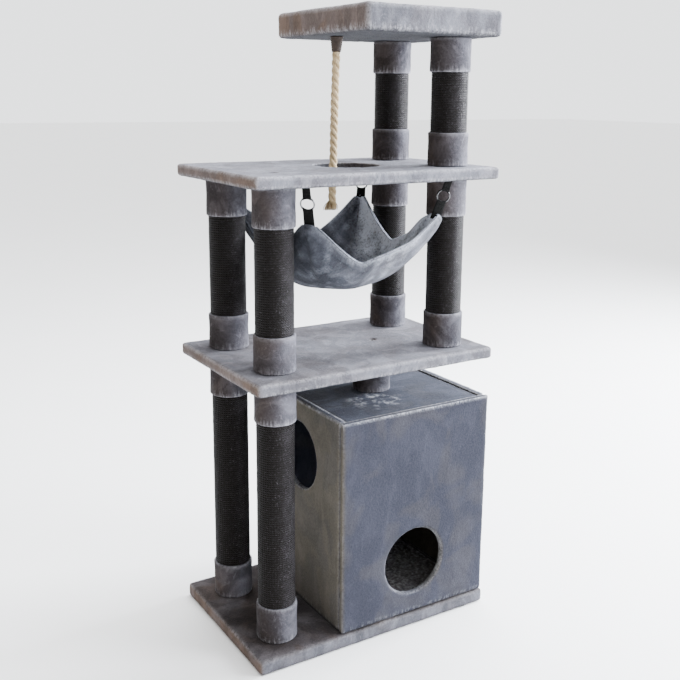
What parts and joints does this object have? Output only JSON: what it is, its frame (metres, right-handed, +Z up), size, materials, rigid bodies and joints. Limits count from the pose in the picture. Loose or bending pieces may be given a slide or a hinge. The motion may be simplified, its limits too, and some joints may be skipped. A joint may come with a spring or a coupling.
{
  "type": "cat tree",
  "caption": "Tall free-standing cat tree with plush decks on sisal-wound posts, a den box with round doorways, a lounging platform, a corner-hung hammock and a hanging rope.",
  "frame": {"origin": "on the floor, under the middle of the base deck's underside", "axes": "+Z up, +X to the right and -Y to the front, the side with the den's lower doorway"},
  "size_m": [0.662, 0.436, 1.528],
  "materials": {
    "deck_plush": "short brushed plush",
    "den_plush": "short brushed plush",
    "collar_plush": "short brushed plush",
    "hammock_plush": "soft plush, doubled and hemmed",
    "charcoal_sisal": "dyed sisal cord, wound turn against turn",
    "black_webbing": "woven webbing",
    "nickel_wire": "bright nickel plate",
    "zinc_steel": "zinc plate",
    "natural_rope": "twisted natural sisal",
    "brown_cuff": "dark brown wrapped cuff"
  },
  "bodies": {
    "frame": {"base_deck": "deck_plush", "middle_deck": "deck_plush", "upper_deck": "deck_plush", "lounging_platform": "deck_plush", "den_front": "den_plush", "den_back": "den_plush", "den_left_side": "den_plush", "den_right_side": "den_plush", "den_lid": "den_plush", "short_post": "collar_plush", "lower_front_post": "charcoal_sisal", "lower_front_post_low_collar": "collar_plush", "lower_front_post_high_collar": "collar_plush", "lower_back_post": "charcoal_sisal", "lower_back_post_low_collar": "collar_plush", "lower_back_post_high_collar": "collar_plush", "middle_front_left_post": "charcoal_sisal", "middle_front_left_post_low_collar": "collar_plush", "middle_front_left_post_high_collar": "collar_plush", "middle_back_left_post": "charcoal_sisal", "middle_back_left_post_low_collar": "collar_plush", "middle_back_left_post_high_collar": "collar_plush", "middle_front_right_post": "charcoal_sisal", "middle_front_right_post_low_collar": "collar_plush", "middle_front_right_post_high_collar": "collar_plush", "middle_back_right_post": "charcoal_sisal", "middle_back_right_post_low_collar": "collar_plush", "middle_back_right_post_high_collar": "collar_plush", "upper_front_post": "charcoal_sisal", "upper_front_post_low_collar": "collar_plush", "upper_front_post_high_collar": "collar_plush", "upper_back_post": "charcoal_sisal", "upper_back_post_low_collar": "collar_plush", "upper_back_post_high_collar": "collar_plush", "base_bolt_front": "zinc_steel", "base_bolt_back": "zinc_steel", "middle_stud_front": "zinc_steel", "middle_stud_back": "zinc_steel", "middle_bolt_front": "zinc_steel", "middle_bolt_back": "zinc_steel", "upper_bolt_front": "zinc_steel", "upper_bolt_back": "zinc_steel", "upper_stud_front": "zinc_steel", "upper_stud_back": "zinc_steel", "short_post_bolt": "zinc_steel"},
    "rope_cuff": {"rope_cuff": "brown_cuff"},
    "rope": {"hanging_rope": "natural_rope"},
    "hammock": {"hammock_bed": "hammock_plush"},
    "upper_webbing_front_left": {"upper_webbing_front_left": "black_webbing"},
    "ring_front_left": {"ring_front_left": "nickel_wire"},
    "lower_webbing_front_left": {"lower_webbing_front_left": "black_webbing"},
    "upper_webbing_front_right": {"upper_webbing_front_right": "black_webbing"},
    "ring_front_right": {"ring_front_right": "nickel_wire"},
    "lower_webbing_front_right": {"lower_webbing_front_right": "black_webbing"},
    "upper_webbing_back_left": {"upper_webbing_back_left": "black_webbing"},
    "ring_back_left": {"ring_back_left": "nickel_wire"},
    "lower_webbing_back_left": {"lower_webbing_back_left": "black_webbing"},
    "upper_webbing_back_right": {"upper_webbing_back_right": "black_webbing"},
    "ring_back_right": {"ring_back_right": "nickel_wire"},
    "lower_webbing_back_right": {"lower_webbing_back_right": "black_webbing"}
  },
  "joints": [
    {"name": "rope_sideways_swing", "type": "hinge", "parent": "frame", "child": "rope_cuff", "pos_m": [-0.001, 0.006, 1.4635], "axis": [0, 1, 0], "range_deg": [-14, 4.5]},
    {"name": "rope_forward_swing", "type": "hinge", "parent": "rope_cuff", "child": "rope", "pos_m": [-0.001, 0.006, 1.4275], "axis": [1, 0, 0], "range_deg": [-5, 5]},
    {"name": "hammock_forward_swing", "type": "hinge", "parent": "frame", "child": "upper_webbing_front_left", "pos_m": [-0.196, -0.19, 1.131], "axis": [1, 0, 0], "range_deg": [-5, 5]},
    {"name": "hammock_sideways_swing", "type": "hinge", "parent": "upper_webbing_front_left", "child": "ring_front_left", "pos_m": [-0.1907, -0.1847, 1.1082], "axis": [0, 1, 0], "range_deg": [-5, 5]},
    {"name": "lower_webbing_front_left_turn", "type": "hinge", "parent": "ring_front_left", "child": "lower_webbing_front_left", "pos_m": [-0.18385, -0.17785, 1.07875], "axis": [0, 1, 0], "range_deg": [-5.5, 5.5]},
    {"name": "upper_webbing_front_right_swing", "type": "hinge", "parent": "frame", "child": "upper_webbing_front_right", "pos_m": [0.196, -0.19, 1.131], "axis": [1, 0, 0], "range_deg": [-5.5, 5.5]},
    {"name": "ring_front_right_turn", "type": "hinge", "parent": "upper_webbing_front_right", "child": "ring_front_right", "pos_m": [0.1907, -0.1847, 1.1082], "axis": [0, 1, 0], "range_deg": [-5.5, 5.5]},
    {"name": "lower_webbing_front_right_turn", "type": "hinge", "parent": "ring_front_right", "child": "lower_webbing_front_right", "pos_m": [0.18385, -0.17785, 1.07875], "axis": [0, 1, 0], "range_deg": [-5.5, 5.5]},
    {"name": "upper_webbing_back_left_swing", "type": "hinge", "parent": "frame", "child": "upper_webbing_back_left", "pos_m": [-0.196, 0.19, 1.131], "axis": [1, 0, 0], "range_deg": [-5.5, 5.5]},
    {"name": "ring_back_left_turn", "type": "hinge", "parent": "upper_webbing_back_left", "child": "ring_back_left", "pos_m": [-0.1907, 0.1847, 1.1082], "axis": [0, 1, 0], "range_deg": [-5.5, 5.5]},
    {"name": "lower_webbing_back_left_turn", "type": "hinge", "parent": "ring_back_left", "child": "lower_webbing_back_left", "pos_m": [-0.18385, 0.17785, 1.07875], "axis": [0, 1, 0], "range_deg": [-5.5, 5.5]},
    {"name": "upper_webbing_back_right_swing", "type": "hinge", "parent": "frame", "child": "upper_webbing_back_right", "pos_m": [0.196, 0.19, 1.131], "axis": [1, 0, 0], "range_deg": [-5.5, 5.5]},
    {"name": "ring_back_right_turn", "type": "hinge", "parent": "upper_webbing_back_right", "child": "ring_back_right", "pos_m": [0.1907, 0.1847, 1.1082], "axis": [0, 1, 0], "range_deg": [-5.5, 5.5]},
    {"name": "lower_webbing_back_right_turn", "type": "hinge", "parent": "ring_back_right", "child": "lower_webbing_back_right", "pos_m": [0.18385, 0.17785, 1.07875], "axis": [0, 1, 0], "range_deg": [-5.5, 5.5]},
    {"name": "hammock_corner_turn", "type": "hinge", "parent": "lower_webbing_front_left", "child": "hammock", "pos_m": [-0.176, -0.17, 1.045], "axis": [1, 0, 0], "range_deg": [-5.5, 5.5]}
  ],
  "couplings": [
    {"joint": "lower_webbing_front_left_turn", "follows": "hammock_sideways_swing", "ratio": -1},
    {"joint": "upper_webbing_front_right_swing", "follows": "hammock_forward_swing", "ratio": 1},
    {"joint": "ring_front_right_turn", "follows": "hammock_sideways_swing", "ratio": 1},
    {"joint": "lower_webbing_front_right_turn", "follows": "hammock_sideways_swing", "ratio": -1},
    {"joint": "upper_webbing_back_left_swing", "follows": "hammock_forward_swing", "ratio": 1},
    {"joint": "ring_back_left_turn", "follows": "hammock_sideways_swing", "ratio": 1},
    {"joint": "lower_webbing_back_left_turn", "follows": "hammock_sideways_swing", "ratio": -1},
    {"joint": "upper_webbing_back_right_swing", "follows": "hammock_forward_swing", "ratio": 1},
    {"joint": "ring_back_right_turn", "follows": "hammock_sideways_swing", "ratio": 1},
    {"joint": "lower_webbing_back_right_turn", "follows": "hammock_sideways_swing", "ratio": -1},
    {"joint": "hammock_corner_turn", "follows": "hammock_forward_swing", "ratio": -1}
  ]
}
